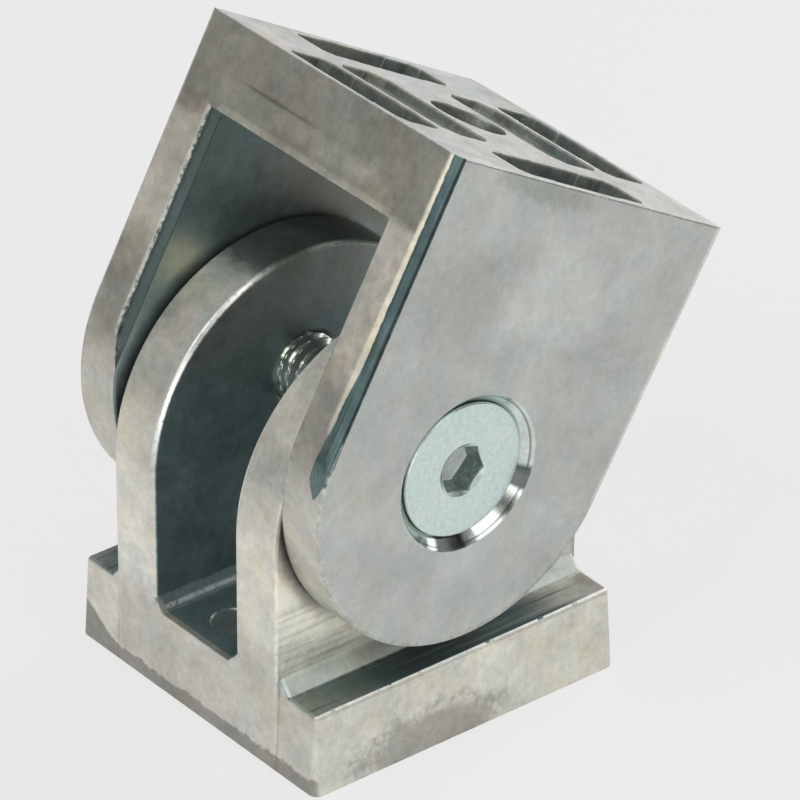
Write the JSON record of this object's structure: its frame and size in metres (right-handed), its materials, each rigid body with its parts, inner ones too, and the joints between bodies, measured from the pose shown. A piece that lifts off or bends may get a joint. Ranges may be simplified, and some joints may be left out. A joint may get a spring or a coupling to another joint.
{
  "type": "profile pivot joint",
  "caption": "Pivot joint for square slotted profile: a base fork with two upright ears and a swivel fork that straddles them on countersunk screws, each with a bored mounting face.",
  "frame": {"origin": "middle of the base fork's mounting face, on the axis of its bore", "axes": "+Z out of the profile that the base stands on, X along the pivot axis, +Y the way the swivel fork leans at rest"},
  "size_m": [0.04, 0.0531, 0.0686],
  "materials": {
    "zinc_casting": "bare zinc die casting, tumbled, mottled matt grey",
    "plated_steel": "zinc plated, clear passivated, satin",
    "plain_steel": "plain steel"
  },
  "bodies": {
    "base": {"base_fork": "zinc_casting", "pivot_screw_left": "plated_steel", "pivot_screw_right": "plated_steel", "thrust_washer_left": "plain_steel", "thrust_washer_right": "plain_steel"},
    "swivel": {"swivel_fork": "zinc_casting"}
  },
  "joints": [
    {"name": "pivot", "type": "hinge", "parent": "base", "child": "swivel", "pos_m": [0, 0, 0.0314], "axis": [1, 0, 0], "range_deg": [-59.6, 120.4]}
  ]
}
